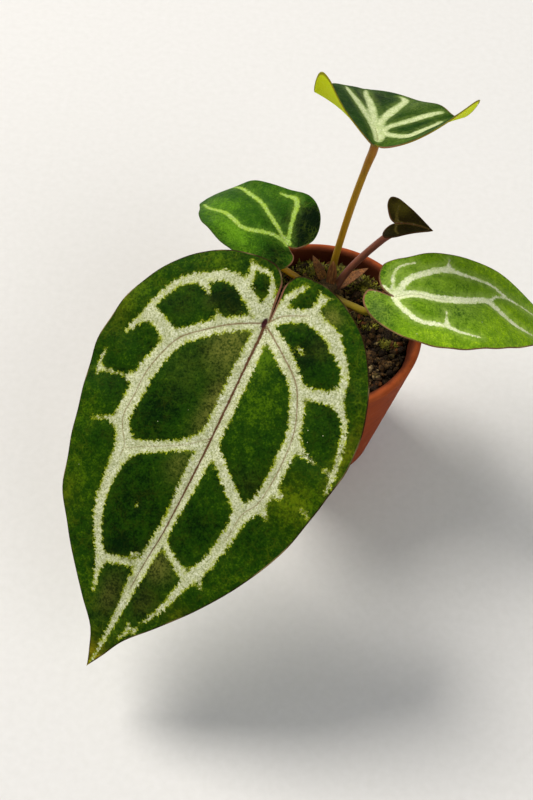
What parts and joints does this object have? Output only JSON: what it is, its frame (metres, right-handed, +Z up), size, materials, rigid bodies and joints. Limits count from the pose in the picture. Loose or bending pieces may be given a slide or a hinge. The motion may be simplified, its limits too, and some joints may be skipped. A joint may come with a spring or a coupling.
{
  "type": "potted anthurium hybrid",
  "caption": "Velvet-leaved anthurium with silver veins and heart-shaped blades on long stalks, growing in chunky potting mix in a small round clay pot.",
  "frame": {"origin": "centre of the pot's flat underside", "axes": "+Z up, along the pot's axis; the large front blade hangs towards -Y and -X"},
  "size_m": [0.2363, 0.2792, 0.2206],
  "materials": {
    "clay": "matte unglazed terracotta",
    "potting_mix": "rough bark and clay granules",
    "crown_bark": "fibrous, matte",
    "velvet_blade": "velvety leaf with silver veins",
    "young_blade": "soft bronze young leaf",
    "olive_stalk": "smooth, waxy green stem",
    "rosy_stalk": "smooth, waxy rosy stem",
    "dry_scale": "dry, papery"
  },
  "bodies": {
    "root": {"pot": "clay", "soil": "potting_mix", "crown": "crown_bark", "leaf_front": "velvet_blade", "leaf_right": "velvet_blade", "leaf_left": "velvet_blade", "leaf_back": "velvet_blade", "leaf_new": "young_blade", "stalk_front": "olive_stalk", "stalk_right": "olive_stalk", "stalk_left": "olive_stalk", "stalk_back": "olive_stalk", "stalk_new": "rosy_stalk", "scale_back": "dry_scale", "scale_left": "dry_scale", "scale_right": "dry_scale"}
  },
  "joints": []
}
